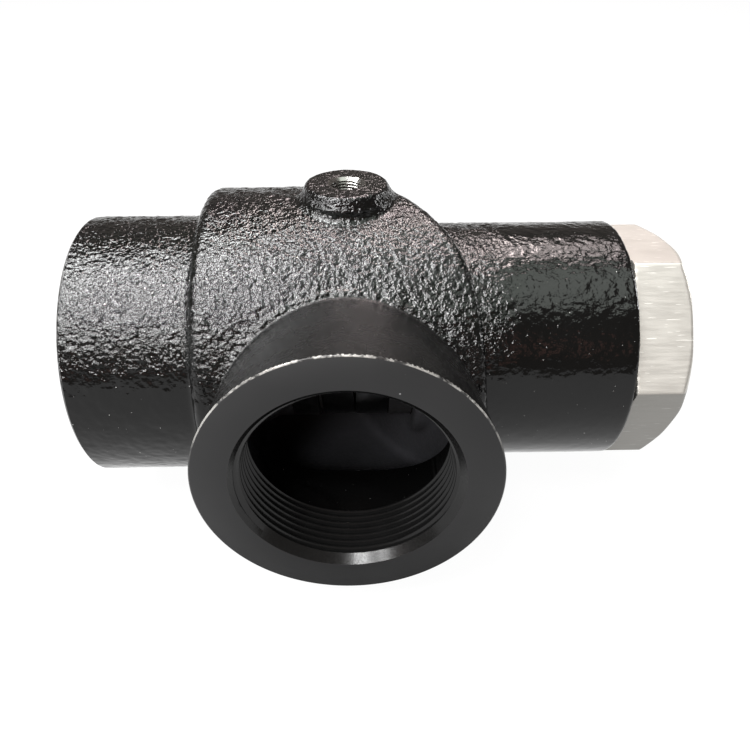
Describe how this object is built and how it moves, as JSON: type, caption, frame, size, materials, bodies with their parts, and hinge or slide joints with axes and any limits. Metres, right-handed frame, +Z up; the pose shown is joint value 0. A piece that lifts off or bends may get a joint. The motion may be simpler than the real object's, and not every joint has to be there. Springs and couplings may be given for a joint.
{
  "type": "minimum-pressure check valve",
  "caption": "Cast cross-shaped valve body with threaded run and side ports, a gauge boss and a hex spring cap; a sprung piston and check poppet hold the line pressure.",
  "frame": {"origin": "bottom centre of the bounding box, which is the surface the drum stands on", "axes": "+X along the run from the inlet port to the hexagonal spring cap, -Y out of the outlet port, +Z up out of the gauge boss"},
  "size_m": [0.183, 0.1204, 0.1057],
  "materials": {
    "black_paint": "glossy black paint over pebbled cast metal, satin on machined faces",
    "cap_aluminium": "bare extruded hexagon bar with handling scratches",
    "steel": "turned",
    "spring_steel": "oil-tempered wire",
    "anodised_aluminium": "turned, dark hard anodised",
    "seal_rubber": "moulded nitrile",
    "bearing_plastic": "dark graphite-filled bearing plastic"
  },
  "bodies": {
    "housing": {"valve_body": "black_paint", "seat_ring": "steel", "seat_ring_o_ring": "seal_rubber", "spring_cap": "cap_aluminium", "cap_o_ring": "seal_rubber", "spring_seat_washer": "steel", "preload_shim_1": "steel", "preload_shim_2": "steel", "main_spring": "spring_steel"},
    "poppet": {"check_poppet": "anodised_aluminium", "poppet_seat_seal": "seal_rubber", "seal_clamp_washer": "steel", "seal_clamp_screw": "steel", "stem_circlip": "spring_steel", "check_spring": "spring_steel"},
    "pressure_piston": {"piston": "anodised_aluminium", "piston_guide_band": "bearing_plastic", "piston_lip_seal": "seal_rubber", "stem_bush": "bearing_plastic", "bush_circlip": "spring_steel"}
  },
  "joints": [
    {"name": "poppet_lift", "type": "slide", "parent": "housing", "child": "poppet", "axis": [1, 0, 0], "range_m": [0, 0.01], "stiffness_N_per_m": 13400, "springref_m": -0.055, "deforming": ["main_spring"]},
    {"name": "piston_lift", "type": "slide", "parent": "poppet", "child": "pressure_piston", "axis": [1, 0, 0], "range_m": [0, 0.006], "stiffness_N_per_m": 13400, "springref_m": -0.055, "deforming": ["main_spring", "check_spring"]}
  ]
}
